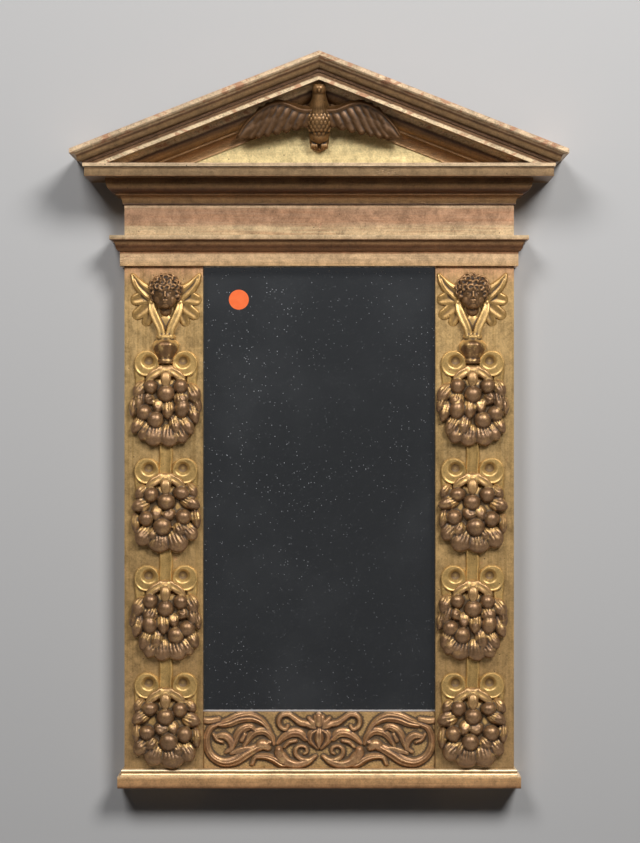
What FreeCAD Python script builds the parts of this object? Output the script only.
"""Gilded wall mirror in the form of a small temple front.

Two carved pilasters, an entablature and a pediment stand round an upright mirror plate. The body is a pine
frame of stiles and rails, tenoned and pegged. Every moulding is a separate strip, mitred round the front and
the two sides. The carvings are applied: a dove in the pediment, and on each pilaster a winged child's head
over four hanging bunches of fruit. The plate lies in a rebate behind the frame, held by small blocks under a
pine backboard, and the mirror hangs by a swinging ring in a pocket in the back.

+Z is up and the front faces -Y. The wall is the plane Y = 0. The origin is the point on the wall behind the
inside top of the hanging ring, where the wall hook bears. "Left" and "right" are the viewer's.
All sizes are in millimetres.
"""
import FreeCAD
import Part

import math
import os

V = FreeCAD.Vector

# ---- Driving dimensions --------------------------------------------------------------------------

# Body of the frame
sight_width = 221.0             # mirror plate as seen, side to side
sight_height = 424.0            # mirror plate as seen, bottom to top
stile_width = 74.5              # face of one pilaster
frame_depth = 30.0              # wall to the face of the pilasters
hook_above_frieze = 32.0        # foot of the frieze board to the wall hook

# Heights of the horizontal members
base_height = 18.0
carved_panel_height = 53.6
architrave_height = 28.4
frieze_height = 30.0
cornice_thickness = 12.2

# Base moulding
base_projection = 6.3
base_band_height = 11.0
base_bead_projection = 2.4
base_bead_height = 4.5

# Architrave: a flat band, a cyma and a square fillet
architrave_band_projection = 4.0
architrave_band_height = 13.2
architrave_projection = 13.3
architrave_fillet_height = 4.1

# Bed moulding: a cove, a fillet and an ovolo under a narrow square
bed_foot_projection = 1.8
bed_cove_projection = 5.4
bed_cove_height = 8.4
raking_cove_height = 10.6       # the same moulding has a deeper cove inside the pediment
bed_fillet_projection = 8.0
bed_fillet_height = 1.6
bed_ovolo_height = 10.5
bed_projection = 17.0
bed_square_height = 3.3

# Cornice board, and the raking boards that repeat its edge on the slope
corona_projection = 35.0
cornice_fillet_projection = 36.5
cornice_fillet_height = 3.2
cornice_quirk = 0.6             # narrow groove under the fillet
raking_board_thickness = 8.1
raking_fillet_height = 1.2

# Pediment
roof_pitch = 21.4               # degrees above the horizontal
cymatium_projection = 48.0
cymatium_height = 15.5          # square to the slope
cymatium_fillet_height = 3.9
cymatium_step = 1.3
cymatium_back = 18.0            # the strip's hidden back edge, in front of the frieze
tympanum_thickness = 12.0

# Rebate, plate and back
lip_thickness = 10.0            # wood in front of the plate
rebate_width = 8.0
plate_thickness = 3.0
plate_clearance = 1.0
panel_board_thickness = 5.0
block_depth = 7.0
block_length = 22.0
block_width = 6.5
side_blocks = 4
end_blocks = 2
backboard_thickness = 5.0
backboard_clearance = 0.5
brad_diameter = 1.6
brad_length = 16.0
brad_bite = 9.0                 # length driven into the frame
side_brads = 5
end_brads = 3
paper_dot_diameter = 19.0
paper_dot_thickness = 0.2
paper_dot_from_edge = 33.8      # centre of the dot to the left side of the sight
paper_dot_from_top = 31.5

# Joints of the frame
tenon_thickness = 10.0
tenon_length = 25.0
tenon_shoulder = 9.0            # rail above and below its tenon
tenon_clearance = 0.1
peg_diameter = 6.0
peg_length = 24.0
peg_clearance = 0.05
glue_block_leg = 13.0
glue_block_length = 30.0
glue_blocks_per_side = 2

# Hanging ring and its strap
pocket_depth = 9.0
pocket_width = 40.0
pocket_margin = 5.0
ring_wire = 3.0
ring_inner_width = 20.0
ring_drop = 17.5                # hook bearing down to the ring's pivot
ring_corner_radius = 3.0
strap_width = 12.0
strap_gauge = 1.2
strap_tail = 26.0
ring_running_clearance = 0.05
screw_diameter = 3.5
screw_head_diameter = 7.0
screw_head_height = 2.0
screw_length = 16.0
screw_insets = (7.0, 20.0)      # below the pivot

# Carving on the pilasters
ornament_offset = 2.2           # its axis stands this much nearer the plate than the pilaster's middle
head_drop = 28.0                # pilaster top to the middle of the child's face
head_height = 36.0
head_width = 27.0
curl_diameter = 8.1
child_wing_span = 68.0
child_wing_fan = (44.0, -68.0)  # directions of its upper and lower edge, in degrees above the level
child_feathers = 4
child_feather_end = 4.5         # how far the rounded ends stand out from the notches
child_wing_relief = 5.0
head_relief = 15.0
knop_drop = 70.0                # pilaster top to the top of the knop
knop_height = 26.5
knop_width = 26.5
last_bunch_gap = 3.5            # under the lowest bunch
bunches = 4
bunch_height = 72.0
bunch_width = 64.0
bunch_core_relief = 8.0
bunch_leaf_width = 9.0
bunch_leaf_length = 16.0
fruit_diameter = 13.2
bow_loop_width = 23.0
bow_ribbon = 5.0
stem_width = 13.0

# Dove in the pediment
dove_foot_height = 15.5         # cornice top to the dove's feet
dove_height = 57.5
dove_breast_width = 27.0
dove_neck_width = 12.0
dove_head_width = 14.0
dove_tail_width = 17.0
dove_beak = 5.0
wing_span = 158.0
wing_rise = 41.5                # dove's feet to the top of the wing
wing_depth = 34.0               # hump of the wing down to its lowest feather
wing_thickness = 5.0
wing_quills = 7
seat_clearance = 0.3            # a carving laid over a curved moulding

# Scroll relief on the carved panel
scroll_relief = 7.0
scroll_stem = 7.0

# ---- Levels and lines worked out from them -------------------------------------------------------

half_body = sight_width / 2 + stile_width
frieze_z = -hook_above_frieze
architrave_z = frieze_z - architrave_height
sight_z = architrave_z - sight_height
panel_z = sight_z - carved_panel_height
base_z = panel_z - base_height
bed_z = frieze_z + frieze_height
bed_height = bed_cove_height + bed_fillet_height + bed_ovolo_height + bed_square_height
cornice_z = bed_z + bed_height
cornice_top = cornice_z + cornice_thickness

slope = math.radians(roof_pitch)
apex_z = (cornice_top + (half_body + cornice_fillet_projection) * math.tan(slope)
          + cymatium_height / math.cos(slope))

plate_front = -(frame_depth - lip_thickness)
plate_back = plate_front + plate_thickness
backboard_front = plate_back + block_depth
backboard_back = backboard_front + backboard_thickness
panel_front = plate_front - panel_board_thickness
rebate_edge = sight_width / 2 + rebate_width
rail_top_z = sight_z - rebate_width
rebate_top_z = architrave_z + rebate_width

pivot_z = -ring_drop
pocket_floor = -pocket_depth
strap_outer_radius = ring_wire / 2 + ring_running_clearance + strap_gauge
pivot_y = pocket_floor + strap_outer_radius

ornament_x = sight_width / 2 + stile_width / 2 - ornament_offset
pilaster_height = architrave_z - panel_z
first_bunch_drop = knop_drop + knop_height
bunch_pitch = (pilaster_height - first_bunch_drop - last_bunch_gap - bunch_height) / (bunches - 1)

FAR = 2000.0                    # longer than anything here, for cutting planes


# ---- Plain solids --------------------------------------------------------------------------------

def box(x0, x1, y0, y1, z0, z1):
    """Block between two corners."""
    return Part.makeBox(x1 - x0, y1 - y0, z1 - z0, V(x0, y0, z0))


def rod(start, end, radius):
    """Round rod between two points."""
    along = end - start
    return Part.makeCylinder(radius, along.Length, start, along)


def ball(radius, centre):
    """Ball whose axis is square to the seat of the carving, so that the seat cuts it in a plain circle."""
    return Part.makeSphere(radius, centre, V(0, -1, 0))


def prism(points, along):
    """Flat outline swept straight along a vector."""
    outline = Part.makePolygon(points + [points[0]])
    return Part.Face(outline).extrude(along)


def mirrored(shape):
    """The same piece for the other side."""
    return shape.mirror(V(0, 0, 0), V(1, 0, 0))


def fused(shapes):
    """One solid from overlapping ones, with the seams between coplanar faces taken out."""
    return shapes[0].multiFuse(shapes[1:]).removeSplitter()


def taper(start, end, start_radius, end_radius):
    """Round-ended tapering bar: two balls and the cone that touches both."""
    along = end - start
    length = along.Length
    if length <= abs(start_radius - end_radius):
        return ball(start_radius, start) if start_radius > end_radius else ball(end_radius, end)
    lean = math.asin((start_radius - end_radius) / length)
    low = V(start_radius * math.cos(lean), 0, start_radius * math.sin(lean))
    high = V(end_radius * math.cos(lean), 0, length + end_radius * math.sin(lean))
    low_turn = (lean - math.pi / 2) / 2
    high_turn = (lean + math.pi / 2) / 2
    low_mid = V(start_radius * math.cos(low_turn), 0, start_radius * math.sin(low_turn))
    high_mid = V(end_radius * math.cos(high_turn), 0, length + end_radius * math.sin(high_turn))
    south = V(0, 0, -start_radius)
    north = V(0, 0, length + end_radius)
    outline = Part.Wire([
        Part.Arc(south, low_mid, low).toShape(),
        Part.LineSegment(low, high).toShape(),
        Part.Arc(high, high_mid, north).toShape(),
        Part.LineSegment(north, south).toShape(),
    ])
    bar = Part.Face(outline).revolve(V(0, 0, 0), V(0, 0, 1), 360)
    turn = FreeCAD.Rotation(V(0, 0, 1), along)
    bar.Placement = FreeCAD.Placement(start, turn)
    return bar


# ---- Moulding profiles ---------------------------------------------------------------------------

class Profile:
    """Section of a moulding, drawn as (projection from the face, height).

    bend is the sagitta of an arc as a share of its chord: positive swells out of the wood when the section
    is drawn upwards from its foot, negative hollows into it.
    """

    def __init__(self, projection, height):
        self.start = (projection, height)
        self.at = self.start
        self.steps = []

    def line(self, projection, height):
        self.steps.append((self.at, None, (projection, height)))
        self.at = (projection, height)
        return self

    def arc(self, projection, height, bend):
        (p0, h0), (p1, h1) = self.at, (projection, height)
        middle = ((p0 + p1) / 2 + bend * (h1 - h0), (h0 + h1) / 2 - bend * (p1 - p0))
        self.steps.append((self.at, middle, (projection, height)))
        self.at = (projection, height)
        return self

    def cyma(self, projection, height, bend):
        """S-curve, swelling at its start and hollow at its end."""
        p0, h0 = self.at
        self.arc((p0 + projection) / 2, (h0 + height) / 2, bend)
        return self.arc(projection, height, -bend)

    def face(self, place):
        """The closed section as a face; place turns (projection, height) into a point in space."""
        self.line(*self.start)
        edges = []
        for start, middle, end in self.steps:
            if middle is None:
                edges.append(Part.LineSegment(place(*start), place(*end)).toShape())
            else:
                edges.append(Part.Arc(place(*start), place(*middle), place(*end)).toShape())
        return Part.Face(Part.Wire(edges))


def base_profile():
    return (Profile(0, 0)
            .line(base_projection, 0)
            .line(base_projection, base_band_height)
            .arc(base_bead_projection, base_height - base_bead_height, -0.18)
            .arc(base_bead_projection * 0.6, base_height, 0.22)
            .line(0, base_height))


def architrave_profile():
    cyma_top = architrave_height - architrave_fillet_height
    return (Profile(0, 0)
            .line(architrave_band_projection, 0)
            .line(architrave_band_projection, architrave_band_height)
            .cyma(architrave_projection - 1.0, cyma_top, 0.16)
            .line(architrave_projection, cyma_top)
            .line(architrave_projection, architrave_height)
            .line(0, architrave_height))


def bed_profile(cove_height):
    fillet_top = cove_height + bed_fillet_height
    ovolo_top = fillet_top + bed_ovolo_height
    return (Profile(0, 0)
            .line(bed_foot_projection, 0)
            .arc(bed_cove_projection, cove_height, -0.14)
            .line(bed_fillet_projection, cove_height)
            .line(bed_fillet_projection, fillet_top)
            .arc(bed_projection - 0.6, ovolo_top, 0.19)
            .line(bed_projection, ovolo_top)
            .line(bed_projection, ovolo_top + bed_square_height)
            .line(0, ovolo_top + bed_square_height))


def cymatium_profile():
    """Drawn with its top at height 0."""
    foot = cornice_fillet_projection + 0.3
    under_fillet = -(cymatium_fillet_height + cymatium_step)
    return (Profile(cymatium_back, -cymatium_height)
            .line(foot, -cymatium_height)
            .line(foot, -cymatium_height + 1.0)
            .cyma(cymatium_projection - 1.8, under_fillet, 0.17)
            .line(cymatium_projection - 1.0, -cymatium_fillet_height)
            .line(cymatium_projection, -cymatium_fillet_height)
            .line(cymatium_projection, 0)
            .line(cymatium_back, 0))


# ---- Mitred runs of moulding ---------------------------------------------------------------------

def front_plan(reach):
    """Ground plan of a front run that ends in a mitre at both corners."""
    return [V(-half_body, -frame_depth, 0), V(half_body, -frame_depth, 0),
            V(half_body + reach, -frame_depth - reach, 0), V(-half_body - reach, -frame_depth - reach, 0)]


def side_plan(reach):
    """Ground plan of the right-hand return, from the mitre back to the wall."""
    return [V(half_body, 0, 0), V(half_body + reach, 0, 0),
            V(half_body + reach, -frame_depth - reach, 0), V(half_body, -frame_depth, 0)]


def upright(plan):
    """Everything above and below a ground plan."""
    return prism(plan, V(0, 0, 2 * FAR)).translated(V(0, 0, -FAR))


def front_run(profile, foot_z, reach):
    section = profile.face(lambda p, h: V(-FAR, -frame_depth - p, foot_z + h))
    return section.extrude(V(2 * FAR, 0, 0)).common(upright(front_plan(reach)))


def side_run(profile, foot_z, reach):
    section = profile.face(lambda p, h: V(half_body + p, 0, foot_z + h))
    return section.extrude(V(0, -FAR, 0)).common(upright(side_plan(reach)))


def mitred_set(name, profile, foot_z, reach):
    """Front strip and the two returns of one horizontal moulding."""
    side = side_run(profile(), foot_z, reach)
    return {name + "_front": front_run(profile(), foot_z, reach),
            name + "_right": side,
            name + "_left": mirrored(side)}


def on_slope(profile, foot=0.0):
    """Endless run down the right-hand slope; heights are measured square to it from the roof's top."""
    section = profile.face(lambda p, h: V(-FAR, -frame_depth - p, foot + h))
    run = section.extrude(V(2 * FAR, 0, 0))
    run.rotate(V(0, 0, 0), V(0, 1, 0), roof_pitch)
    return run.translated(V(0, 0, apex_z))


def right_half(low_z):
    """The space right of the middle and above a level."""
    return box(0, FAR, -FAR, FAR, low_z, FAR)


# ---- Frame of stiles and rails -------------------------------------------------------------------

def stile_tenon_box(clearance):
    """Tenon on top of the right stile, or its mortise with a clearance."""
    middle_x = rebate_edge + (half_body - rebate_edge) / 2
    half = (half_body - rebate_edge) / 2 - tenon_shoulder
    middle_y = plate_front / 2
    return box(middle_x - half - clearance, middle_x + half + clearance,
               middle_y - tenon_thickness / 2 - clearance, middle_y + tenon_thickness / 2 + clearance,
               architrave_z, architrave_z + tenon_length + clearance)


def rail_tenon_box(clearance):
    """Tenon on the right end of the bottom rail, or its mortise."""
    middle_y = plate_front / 2
    return box(sight_width / 2, sight_width / 2 + tenon_length + clearance,
               middle_y - tenon_thickness / 2 - clearance, middle_y + tenon_thickness / 2 + clearance,
               base_z + tenon_shoulder - clearance, rail_top_z - tenon_shoulder + clearance)


def peg_points():
    """Where pegs go in from the back, on the right side: two in each joint."""
    rail_middle = (base_z + rail_top_z) / 2
    rail_gap = (rail_top_z - base_z) / 2 - tenon_shoulder - peg_diameter
    stile_middle = rebate_edge + (half_body - rebate_edge) / 2
    stile_gap = (half_body - rebate_edge) / 2 - tenon_shoulder - peg_diameter
    rail_x = sight_width / 2 + tenon_length / 2
    stile_z = architrave_z + tenon_length / 2
    return [V(rail_x, 0, rail_middle - rail_gap), V(rail_x, 0, rail_middle + rail_gap),
            V(stile_middle - stile_gap, 0, stile_z), V(stile_middle + stile_gap, 0, stile_z)]


def right_pegs(clearance):
    return [rod(point, point - V(0, peg_length + clearance, 0), peg_diameter / 2 + clearance)
            for point in peg_points()]


def both_sides(shapes):
    return shapes + [mirrored(shape) for shape in shapes]


def right_stile():
    board = box(sight_width / 2, half_body, -frame_depth, 0, base_z, architrave_z)
    rebate = box(0, rebate_edge, plate_front, FAR, rail_top_z, FAR)
    stile = board.cut(rebate).fuse(stile_tenon_box(0))
    return stile.cut([rail_tenon_box(tenon_clearance)] + right_pegs(peg_clearance) + side_brad_rods())


def bottom_rail():
    half = sight_width / 2
    foot = box(-half, half, -frame_depth, 0, base_z, panel_z)
    web = box(-half, half, plate_front, 0, base_z, rail_top_z)
    tenons = both_sides([rail_tenon_box(0)])
    rail = fused([foot, web] + tenons)
    return rail.cut(both_sides(right_pegs(peg_clearance)) + bottom_brad_rods())


def top_rail():
    board = box(-half_body, half_body, -frame_depth, 0, architrave_z, cornice_z)
    rebate = box(-rebate_edge, rebate_edge, plate_front, FAR, architrave_z, rebate_top_z)
    pocket = box(-pocket_width / 2, pocket_width / 2, pocket_floor, FAR,
                 pivot_z - strap_tail - pocket_margin, ring_wire + pocket_margin)
    cuts = [rebate, pocket] + both_sides([stile_tenon_box(tenon_clearance)])
    cuts += both_sides(right_pegs(peg_clearance)) + top_brad_rods()
    cuts += [screw_solid(inset) for inset in screw_insets]
    return board.cut(cuts)


def joint_pegs():
    return Part.makeCompound(both_sides(right_pegs(0)))


def carved_panel_board():
    half = sight_width / 2
    return box(-half, half, panel_front, plate_front, panel_z, sight_z)


# ---- Mirror plate and what holds it --------------------------------------------------------------

def spread(count, low, high):
    """Middles of count equal bays between two ends."""
    bay = (high - low) / count
    return [low + bay * (index + 0.5) for index in range(count)]


def mirror_plate():
    half = rebate_edge - plate_clearance
    return box(-half, half, plate_front, plate_back, rail_top_z, rebate_top_z - plate_clearance)


def glazing_blocks():
    blocks = []
    for z in spread(side_blocks, rail_top_z, rebate_top_z):
        blocks += both_sides([box(rebate_edge - block_width, rebate_edge, plate_back, backboard_front,
                                  z - block_length / 2, z + block_length / 2)])
    for x in spread(end_blocks, -sight_width / 2, sight_width / 2):
        for low, high in ((rail_top_z, rail_top_z + block_width), (rebate_top_z - block_width, rebate_top_z)):
            blocks.append(box(x - block_length / 2, x + block_length / 2, plate_back, backboard_front,
                              low, high))
    return Part.makeCompound(blocks)


def backboard():
    half = rebate_edge - backboard_clearance
    return box(-half, half, backboard_front, backboard_back,
               rail_top_z + backboard_clearance, rebate_top_z - backboard_clearance)


def brad_y():
    return backboard_back + brad_diameter / 2


def side_brad_rods():
    """Brads driven sideways into the right stile, lying on the backboard."""
    start = rebate_edge + brad_bite
    return [rod(V(start, brad_y(), z), V(start - brad_length, brad_y(), z), brad_diameter / 2)
            for z in spread(side_brads, rail_top_z, rebate_top_z - rebate_width)]


def end_brad_rods(buried_z, direction):
    reach = V(0, 0, direction * brad_length)
    rods = []
    for x in spread(end_brads, -sight_width / 2, sight_width / 2):
        start = V(x, brad_y(), buried_z)
        rods.append(rod(start, start + reach, brad_diameter / 2))
    return rods


def bottom_brad_rods():
    return end_brad_rods(rail_top_z - brad_bite, 1)


def top_brad_rods():
    return end_brad_rods(rebate_top_z + brad_bite, -1)


def backboard_brads():
    return Part.makeCompound(both_sides(side_brad_rods()) + bottom_brad_rods() + top_brad_rods())


def paper_dot():
    centre = V(-sight_width / 2 + paper_dot_from_edge, plate_front, architrave_z - paper_dot_from_top)
    return rod(centre, centre - V(0, paper_dot_thickness, 0), paper_dot_diameter / 2)


# ---- Cornice and pediment boards -----------------------------------------------------------------

def cornice_board():
    """One board with the corona, a quirk and a fillet worked on its front edge and both ends."""
    corona_top = cornice_top - cornice_fillet_height - cornice_quirk
    layers = [(corona_projection, cornice_z, corona_top),
              (corona_projection - cornice_quirk, corona_top, corona_top + cornice_quirk),
              (cornice_fillet_projection, corona_top + cornice_quirk, cornice_top)]
    return fused([box(-half_body - reach, half_body + reach, -frame_depth - reach, 0, low, high)
                  for reach, low, high in layers])


def raking_board():
    """Right-hand sloping board; its front edge repeats the cornice board's."""
    top = -cymatium_height
    section = (Profile(-frame_depth, top - raking_board_thickness)
               .line(corona_projection, top - raking_board_thickness)
               .line(corona_projection, top - raking_fillet_height)
               .line(cornice_fillet_projection, top - raking_fillet_height)
               .line(cornice_fillet_projection, top)
               .line(-frame_depth, top))
    return on_slope(section).common(right_half(cornice_top))


def tympanum_board():
    roof_drop = (cymatium_height + raking_board_thickness) / math.cos(slope)
    peak = apex_z - roof_drop
    half = (peak - cornice_top) / math.tan(slope)
    front = -frame_depth
    return prism([V(-half, front, cornice_top), V(half, front, cornice_top), V(0, front, peak)],
                 V(0, tympanum_thickness, 0))


def raking_bed():
    height = raking_cove_height + bed_fillet_height + bed_ovolo_height + bed_square_height
    foot = -(cymatium_height + raking_board_thickness + height)
    return on_slope(bed_profile(raking_cove_height), foot).common(right_half(cornice_top))


def raking_cymatium():
    plan = front_plan(cymatium_projection)
    return on_slope(cymatium_profile()).common(upright(plan)).common(right_half(cornice_z))


def cymatium_return():
    """Side return. Its section is the raking one sheared, so that the two meet in the corner mitre."""
    section = cymatium_profile().face(lambda p, h: V(p, 0, h))
    shear = FreeCAD.Matrix()
    shear.A31 = -math.tan(slope)
    shear.A33 = 1 / math.cos(slope)
    section = section.transformGeometry(shear)
    section.translate(V(half_body, 0, apex_z - math.tan(slope) * half_body))
    return section.extrude(V(0, -FAR, 0)).common(upright(side_plan(cymatium_projection)))


def glue_blocks():
    """Three-cornered blocks behind the tympanum, on the cornice board."""
    back = -frame_depth + tympanum_thickness
    half_run = (apex_z - cornice_top) / math.tan(slope) / 2
    corners = [V(0, back, cornice_top), V(0, back + glue_block_leg, cornice_top),
               V(0, back, cornice_top + glue_block_leg)]
    blocks = []
    for x in spread(glue_blocks_per_side, 0, half_run):
        block = prism(corners, V(glue_block_length, 0, 0))
        blocks.append(block.translated(V(x - glue_block_length / 2, 0, 0)))
    return Part.makeCompound(both_sides(blocks))


# ---- Hanging ring --------------------------------------------------------------------------------

def hanging_ring():
    """Closed wire loop with a straight bar that turns in the strap."""
    half = (ring_inner_width + ring_wire) / 2
    corner = ring_corner_radius
    top = ring_wire / 2
    shoulder = top - half
    lift = corner * (1 - math.sqrt(0.5))

    def at(x, z):
        return V(x, pivot_y, z)

    path = Part.Wire([
        Part.LineSegment(at(-half + corner, pivot_z), at(half - corner, pivot_z)).toShape(),
        Part.Arc(at(half - corner, pivot_z), at(half - lift, pivot_z + lift),
                 at(half, pivot_z + corner)).toShape(),
        Part.LineSegment(at(half, pivot_z + corner), at(half, shoulder)).toShape(),
        Part.Arc(at(half, shoulder), at(0, top), at(-half, shoulder)).toShape(),
        Part.LineSegment(at(-half, shoulder), at(-half, pivot_z + corner)).toShape(),
        Part.Arc(at(-half, pivot_z + corner), at(-half + lift, pivot_z + lift),
                 at(-half + corner, pivot_z)).toShape(),
    ])
    section = Part.Wire(Part.makeCircle(ring_wire / 2, at(-half + corner, pivot_z), V(1, 0, 0)))
    return path.makePipeShell([section], True, False)


def screw_solid(inset):
    """Countersunk screw in the strap, its head flush."""
    face_y = pocket_floor + 2 * strap_gauge
    top = V(0, face_y, pivot_z - inset)
    head = Part.makeCone(screw_head_diameter / 2, screw_diameter / 2, screw_head_height, top, V(0, -1, 0))
    return head.fuse(rod(top, top - V(0, screw_length, 0), screw_diameter / 2)).removeSplitter()


def hanger_strap():
    """Strip of sheet folded round the ring's bar, with its two ends laid together on the pocket's floor."""
    half = strap_width / 2
    eye = rod(V(-half, pivot_y, pivot_z), V(half, pivot_y, pivot_z), strap_outer_radius)
    tail = box(-half, half, pocket_floor, pocket_floor + 2 * strap_gauge, pivot_z - strap_tail, pivot_z)
    bore = rod(V(-half, pivot_y, pivot_z), V(half, pivot_y, pivot_z), ring_wire / 2 + ring_running_clearance)
    return eye.fuse(tail).cut([bore] + [screw_solid(inset) for inset in screw_insets])


def hanger_screws():
    return Part.makeCompound([screw_solid(inset) for inset in screw_insets])


# ---- Carving: every piece is drawn round a point on its seat, with the seat as the plane y = 0 ----

def in_front(shape, depth=FAR):
    """What stands in front of the seat, up to a depth."""
    return shape.common(box(-FAR, FAR, -depth, 0, -FAR, FAR))


def seated(shape, x, z, face=-frame_depth):
    return shape.translated(V(x, face, z))


def curl(centre, degrees):
    """One curl of hair, turned so that the ball's seam lies inside the head."""
    lock = Part.makeSphere(curl_diameter / 2, centre)
    lock.rotate(centre, V(0, 1, 0), -degrees)
    return lock


def childs_head():
    """Round face with a cap of curls."""
    face_radius = head_width / 2
    skull = taper(V(0, 0, face_radius * 0.25), V(0, 0, -face_radius * 0.35), face_radius, face_radius * 0.8)
    skull.translate(V(0, face_radius - head_relief, 0))
    nose = taper(V(0, -head_relief, 0), V(0, -head_relief, -head_width * 0.1),
                 head_width * 0.05, head_width * 0.08)
    curls = []
    for index in range(9):
        degrees = -10 + 25 * index
        angle = math.radians(degrees)
        curls.append(curl(V(face_radius * math.cos(angle), -head_relief * 0.35,
                            face_radius * (0.25 + math.sin(angle))), degrees))
    for index in range(4):
        degrees = 36 + 36 * index
        angle = math.radians(degrees)
        curls.append(curl(V(face_radius * 0.7 * math.cos(angle), -head_relief * 0.75,
                            face_radius * (0.3 + 0.7 * math.sin(angle))), degrees))
    return in_front(fused([skull, nose] + curls))


def polar(radius, degrees):
    """Point on the seat at a distance and a direction from the middle."""
    return V(radius * math.cos(math.radians(degrees)), 0, radius * math.sin(math.radians(degrees)))


def childs_wing():
    """Right wing: a fan of feathers from beside the curls, each with a rounded end."""
    inner = (head_width * 1.2 + curl_diameter) / 2 + seat_clearance
    notch = child_wing_span / 2 - child_feather_end
    high, low = child_wing_fan
    step = (low - high) / child_feathers
    edges = [Part.LineSegment(polar(inner, high), polar(notch, high)).toShape()]
    for index in range(child_feathers):
        turns = [high + step * (index + share) for share in (0, 0.5, 1)]
        edges.append(Part.Arc(polar(notch, turns[0]), polar(child_wing_span / 2, turns[1]),
                              polar(notch, turns[2])).toShape())
    edges.append(Part.LineSegment(polar(notch, low), polar(inner, low)).toShape())
    edges.append(Part.Arc(polar(inner, low), polar(inner, (high + low) / 2), polar(inner, high)).toShape())
    return Part.Face(Part.Wire(edges)).extrude(V(0, -child_wing_relief, 0))


def drape():
    """Two bands that fall from the wings and meet in a knop."""
    top = head_drop - knop_drop
    knop_half = knop_width / 2
    band = taper(V(head_width * 0.5, 0, head_height * -0.28), V(3.0, 0, top - 1.5), 3.8, 3.4)
    knop = (Profile(0, -knop_height)
            .line(knop_half * 0.55, -knop_height)
            .line(knop_half * 0.6, -knop_height * 0.82)
            .arc(knop_half, -knop_height * 0.38, 0.12)
            .arc(knop_half * 0.55, 0, 0.22)
            .line(0, 0))
    turned = knop.face(lambda p, h: V(p, 0, h)).revolve(V(0, 0, 0), V(0, 0, 1), 360)
    turned = turned.translated(V(0, 0, top))
    return in_front(fused(both_sides([band]) + [turned]), knop_half * 0.85)


def bunch_points():
    """Fruit centres on a low dome, in rows that follow the bunch's round outline."""
    half = (bunch_width - fruit_diameter) / 2
    rows = ((0.24, 3), (0.42, 4), (0.58, 5), (0.75, 4), (0.9, 3))
    widest, reach = 0.55, 0.52
    points = []
    for share, count in rows:
        swell = math.sqrt(1 - ((share - widest) / reach) ** 2)
        for index in range(count):
            x = half * swell * (2 * index / (count - 1) - 1)
            lift = bunch_core_relief * swell * (1 - (x / bunch_width) ** 2 * 2)
            points.append(V(x, -lift * 0.75, -bunch_height * share))
    return points


def bunch_leaves():
    """Three leaves that fold down over the top of the bunch."""
    half = bunch_leaf_width / 2
    leaves = []
    for turn, share in ((-90, 0.75), (-35, 1.0), (-145, 0.98)):
        outward = V(math.cos(math.radians(turn)), 0, math.sin(math.radians(turn)))
        root = V(0, -bunch_core_relief / 2, -half) + outward * 1.2
        tip = root + outward * (bunch_leaf_length * share) - V(0, 1, 0)
        leaves.append(taper(root, tip, half, half * 0.9))
    return leaves


def fruit_bunch():
    """Fruits on a swelling core, under three drooping leaves."""
    core_edge = bunch_width * 0.42
    core_radius = (core_edge ** 2 + bunch_core_relief ** 2) / (2 * bunch_core_relief)
    core = ball(core_radius, V(0, core_radius - bunch_core_relief, -bunch_height * 0.56))
    fruits = [ball(fruit_diameter / 2, point) for point in bunch_points()]
    return in_front(fused([core] + fruits + bunch_leaves()))


def bow():
    """Two ribbon loops that stand up beside the stem."""
    loop_radius = (bow_loop_width - bow_ribbon) / 2
    middle = V(stem_width / 2 + bow_loop_width / 2 + 0.4, 0, bow_loop_width / 4)
    loop = in_front(Part.makeTorus(loop_radius, bow_ribbon / 2, middle, V(0, 1, 0)))
    return both_sides([loop])


def stem(length):
    radius = stem_width / 2
    return in_front(rod(V(0, 0, 0), V(0, 0, length), radius), radius * 0.9)


def bunch_tops():
    """Heights of the bunches, from the top of the pilaster down."""
    first = architrave_z - first_bunch_drop
    return [first - bunch_pitch * index for index in range(bunches)]


def stem_gap():
    """Free height between one bunch and the next."""
    return bunch_pitch - bunch_height


# ---- Dove in the pediment ------------------------------------------------------------------------

def dove_body():
    """Turned body with a spread tail and a full breast on the tympanum; the neck leans out so that the head
    clears the bed moulding behind it."""
    tail, breast, neck, head = [width / 2 for width in
                                (dove_tail_width, dove_breast_width, dove_neck_width, dove_head_width)]
    seated_at = breast - 1.0
    head_out = bed_projection + seat_clearance + head + 1.0
    section = (Profile(0, 0)
               .line(tail, 0)
               .arc(tail * 0.85, dove_height * 0.16, -0.1)
               .arc(breast, dove_height * 0.42, 0.12)
               .arc(0, dove_height * 0.62, 0.3))
    body = section.face(lambda p, h: V(p, 0, h)).revolve(V(0, 0, 0), V(0, 0, 1), 360)
    shoulder = V(0, -seated_at - 3.0, dove_height * 0.46)
    throat = V(0, -head_out, dove_height * 0.78)
    crown = V(0, -head_out, dove_height - head)
    beak = Part.makeCone(dove_beak * 0.5, dove_beak * 0.1, dove_beak,
                         crown - V(0, head * 0.7, head * 0.1), V(0, -1, -0.8))
    return in_front(fused([body.translated(V(0, -seated_at, 0)), taper(shoulder, throat, breast * 0.7, neck),
                           ball(head, crown), beak]))


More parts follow.
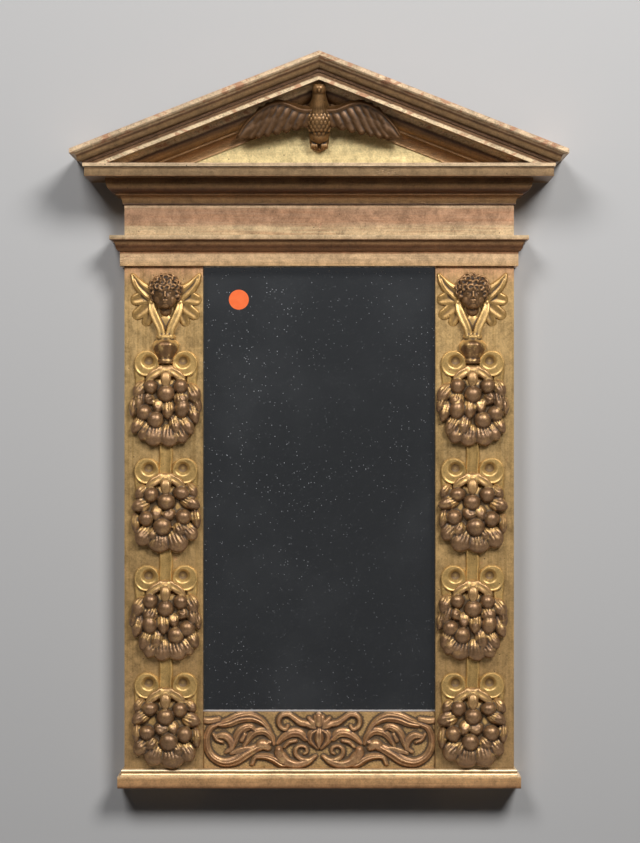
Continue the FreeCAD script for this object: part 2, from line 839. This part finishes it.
def dove_wing():
    """Right wing, laid over the bed moulding: an arched leading edge and a row of feather ends under it."""
    seat = -(bed_projection + seat_clearance)
    near = dove_breast_width / 2 - 4.0
    length = wing_span / 2 - near
    root_top = V(near, seat, wing_rise - wing_depth * 0.2)
    hump = V(near + length * 0.5, seat, wing_rise)
    tip = V(near + length, seat, wing_rise - wing_depth)
    root_foot = V(near, seat, wing_rise - wing_depth * 0.7)
    edges = [Part.Arc(root_top, (root_top + hump) * 0.5 + V(1.0, 0, -1.4), hump).toShape(),
             Part.Arc(hump, (hump + tip) * 0.5 + V(5.6, 0, 5.0), tip).toShape()]
    ends = [tip + (root_foot - tip) * (index / wing_quills) for index in range(wing_quills + 1)]
    for start, end in zip(ends, ends[1:]):
        edges.append(Part.Arc(start, (start + end) * 0.5 + V(0.4, 0, -1.6), end).toShape())
    edges.append(Part.LineSegment(root_foot, root_top).toShape())
    return Part.Face(Part.Wire(edges)).extrude(V(0, -wing_thickness, 0))


# ---- Scroll relief under the plate ---------------------------------------------------------------

def ring_arc(centre, radius, start_degrees, sweep_degrees, thickness):
    """Part of a ring lying on the seat."""
    angle = math.radians(start_degrees)
    outward = V(math.cos(angle), 0, math.sin(angle))
    tangent = V(-math.sin(angle), 0, math.cos(angle))
    section = Part.Face(Part.Wire(Part.makeCircle(thickness, centre + outward * radius, tangent)))
    return section.revolve(centre, V(0, -1, 0), sweep_degrees)


def volute(centre, radius, start_degrees, quarters, thickness, turn=1):
    """Spiral of quarter rings, each smaller and thinner than the last and tangent to it."""
    parts = []
    angle = start_degrees
    for _ in range(quarters):
        parts.append(ring_arc(centre, radius, angle, 90 * turn, thickness))
        angle += 90 * turn
        step = radius * 0.22
        outward = V(math.cos(math.radians(angle)), 0, math.sin(math.radians(angle)))
        centre = centre + outward * step
        radius -= step
        thickness *= 0.94
    eye = centre + V(math.cos(math.radians(angle)), 0, math.sin(math.radians(angle))) * radius
    parts.append(Part.makeSphere(thickness * 1.25, eye))
    return parts


def panel_point(across, up):
    """Point on the right half of the panel, as shares of its half width and its height."""
    return V(across * sight_width / 2, 0, up * carved_panel_height)


def scroll_half():
    """Right half of the scrollwork: an outer scroll, two smaller ones by the middle, and leafy stems."""
    gauge = scroll_stem / 2
    outer, upper, inner = panel_point(0.80, 0.44), panel_point(0.32, 0.70), panel_point(0.155, 0.31)
    outer_radius, upper_radius, inner_radius = [carved_panel_height * share for share in (0.29, 0.15, 0.16)]
    parts = volute(outer, outer_radius, 200, 5, gauge, -1)
    parts += volute(upper, upper_radius, 200, 4, gauge * 0.9, -1)
    parts += volute(inner, inner_radius, -20, 4, gauge * 0.9, 1)
    stem_points = [inner + V(inner_radius, 0, 0), panel_point(0.36, 0.24), panel_point(0.5, 0.44),
                   outer - V(outer_radius, 0, 0)]
    for index, (start, end) in enumerate(zip(stem_points, stem_points[1:])):
        parts.append(taper(start, end, gauge * (1.0 + 0.03 * index), gauge * (1.05 + 0.03 * index)))
    parts.append(taper(stem_points[1], upper - V(0, 0, upper_radius), gauge * 0.85, gauge * 0.8))
    leaves = ((stem_points[1], 0.52, 0.12), (stem_points[1], 0.26, 0.07), (stem_points[2], 0.47, 0.84),
              (stem_points[2], 0.63, 0.15), (stem_points[3], 0.6, 0.86), (stem_points[3], 0.72, 0.12),
              (outer, 0.79, 0.88), (outer, 0.95, 0.76), (outer, 0.94, 0.14))
    for index, (root, across, up) in enumerate(leaves):
        tip = panel_point(across, up)
        start = root + (tip - root) * 0.12
        parts.append(taper(start, tip, gauge * (0.62 + 0.01 * index), gauge * 0.75))
    relief = in_front(fused(parts), scroll_relief)
    return relief.common(box(0.2, sight_width / 2 - 0.2, -FAR, FAR, 0.2, carved_panel_height - 0.2))


def scroll_centre():
    """Small shell over a boss, between the two scrolls."""
    root = panel_point(0, 0.6)
    lobes = []
    for index, turn in enumerate((15, 52, 90, 128, 165)):
        outward = V(math.cos(math.radians(turn)), 0, math.sin(math.radians(turn)))
        lobes.append(taper(root + outward * 3.0, root + outward * (carved_panel_height * 0.27),
                           2.6 + 0.05 * index, 3.6))
    boss = taper(panel_point(0, 0.56), panel_point(0, 0.4), 6.4, 4.6)
    return in_front(fused(lobes + [boss]))


# ---- Build ---------------------------------------------------------------------------------------

def carcass():
    stile = right_stile()
    raking = raking_board()
    return {
        "stile_right": stile,
        "stile_left": mirrored(stile),
        "bottom_rail": bottom_rail(),
        "top_rail": top_rail(),
        "joint_pegs": joint_pegs(),
        "carved_panel_board": carved_panel_board(),
        "cornice_board": cornice_board(),
        "raking_board_right": raking,
        "raking_board_left": mirrored(raking),
        "tympanum_board": tympanum_board(),
        "glue_blocks": glue_blocks(),
    }


def mouldings():
    nodes = mitred_set("base_moulding", base_profile, base_z, base_projection)
    nodes.update(mitred_set("architrave", architrave_profile, architrave_z, architrave_projection))
    nodes.update(mitred_set("bed_moulding", lambda: bed_profile(bed_cove_height), bed_z, bed_projection))
    for name, shape in (("raking_bed", raking_bed()), ("raking_cymatium", raking_cymatium()),
                        ("cymatium_return", cymatium_return())):
        nodes[name + "_right"] = shape
        nodes[name + "_left"] = mirrored(shape)
    return nodes


def glazing():
    return {
        "mirror_plate": mirror_plate(),
        "glazing_blocks": glazing_blocks(),
        "backboard": backboard(),
        "backboard_brads": backboard_brads(),
        "paper_dot": paper_dot(),
    }


def hanger():
    return {
        "hanging_ring": hanging_ring(),
        "hanger_strap": hanger_strap(),
        "hanger_screws": hanger_screws(),
    }


def pilaster_carving():
    """Everything carved on the right pilaster; each bunch mirrors the one above it."""
    head_z = architrave_z - head_drop
    head = seated(childs_head(), ornament_x, head_z)
    wings = seated(Part.makeCompound(both_sides([childs_wing()])), ornament_x, head_z)
    fall = seated(drape(), ornament_x, head_z)
    hanging = [fruit_bunch()]
    hanging.append(mirrored(hanging[0]))
    placed = [seated(hanging[index % 2], ornament_x, top) for index, top in enumerate(bunch_tops())]
    nodes = {"childs_head": head, "childs_wings": wings, "drape": fall.cut([head] + wings.Solids)}
    for index, bunch in enumerate(placed):
        nodes["fruit_bunch_%d" % (index + 1)] = bunch
    loops = [seated(loop, ornament_x, top) for top in bunch_tops() for loop in bow()]
    stems = [seated(stem(stem_gap() + bunch_leaf_width / 2 + fruit_diameter / 2),
                    ornament_x, top - bunch_leaf_width / 2) for top in bunch_tops()[1:]]
    nodes["bows"] = Part.makeCompound([loop.cut(placed + [fall]) for loop in loops])
    nodes["stems"] = Part.makeCompound([piece.cut(placed) for piece in stems])
    return nodes


def dove():
    foot = cornice_top + dove_foot_height
    body = seated(dove_body(), 0, foot)
    wing = seated(dove_wing(), 0, foot).cut(body)
    return {"dove_body": body, "dove_wing_right": wing, "dove_wing_left": mirrored(wing)}


def scrollwork():
    centre = scroll_centre()
    half = seated(scroll_half().cut(centre), 0, panel_z, panel_front)
    return {"scroll_centre": seated(centre, 0, panel_z, panel_front),
            "scroll_right": half,
            "scroll_left": mirrored(half)}


def build():
    nodes = {}
    nodes.update(carcass())
    nodes.update(mouldings())
    nodes.update(glazing())
    nodes.update(hanger())
    for name, shape in pilaster_carving().items():
        nodes[name + "_right"] = shape
        nodes[name + "_left"] = mirrored(shape)
    nodes.update(dove())
    nodes.update(scrollwork())
    return nodes


def main():
    os.makedirs("parts", exist_ok=True)
    for name, shape in build().items():
        shape.exportStep("parts/" + name + ".step")


main()
